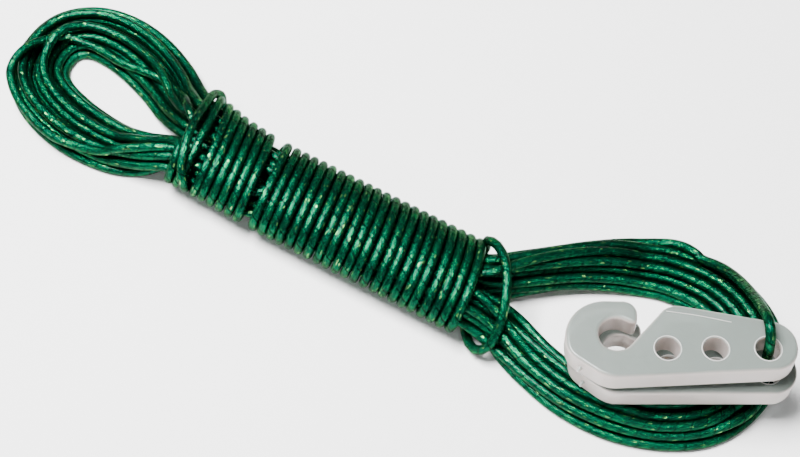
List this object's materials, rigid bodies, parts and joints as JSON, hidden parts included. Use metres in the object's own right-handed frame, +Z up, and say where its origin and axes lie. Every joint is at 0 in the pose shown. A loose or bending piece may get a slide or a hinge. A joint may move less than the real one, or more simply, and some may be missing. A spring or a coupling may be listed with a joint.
{
  "type": "clothesline",
  "caption": "Hank of plastic-coated clothesline cord bound with its own tail, carrying two moulded hooks that swing on one strand.",
  "frame": {"origin": "middle of the foot of the object's box, on the surface it lies on", "axes": "+X along the hank from its plain loop to its hook loop, +Z up from the surface it lies on"},
  "size_m": [0.2781, 0.0682, 0.0384],
  "materials": {
    "cord": "clear green PVC sheath over metallic green foil",
    "hook": "milky translucent moulded polypropylene"
  },
  "bodies": {
    "root": {"plain_loop": "cord", "waist_core": "cord", "short_wrap": "cord", "long_wrap": "cord", "hook_loop": "cord", "locking_turn": "cord", "threaded_strand": "cord"},
    "upper_hook": {"upper_hook": "hook"},
    "lower_hook": {"lower_hook": "hook"}
  },
  "joints": [
    {"name": "upper_hook_swing", "type": "hinge", "parent": "root", "child": "upper_hook", "pos_m": [0.1285, 0.0008, 0.0223], "axis": [-0.0327, -0.0201, 0.9993], "range_deg": [-20, 45]},
    {"name": "lower_hook_swing", "type": "hinge", "parent": "root", "child": "lower_hook", "pos_m": [0.131, -0.0002, 0.0113], "axis": [0, 0, 1], "range_deg": [-45, 45]}
  ]
}
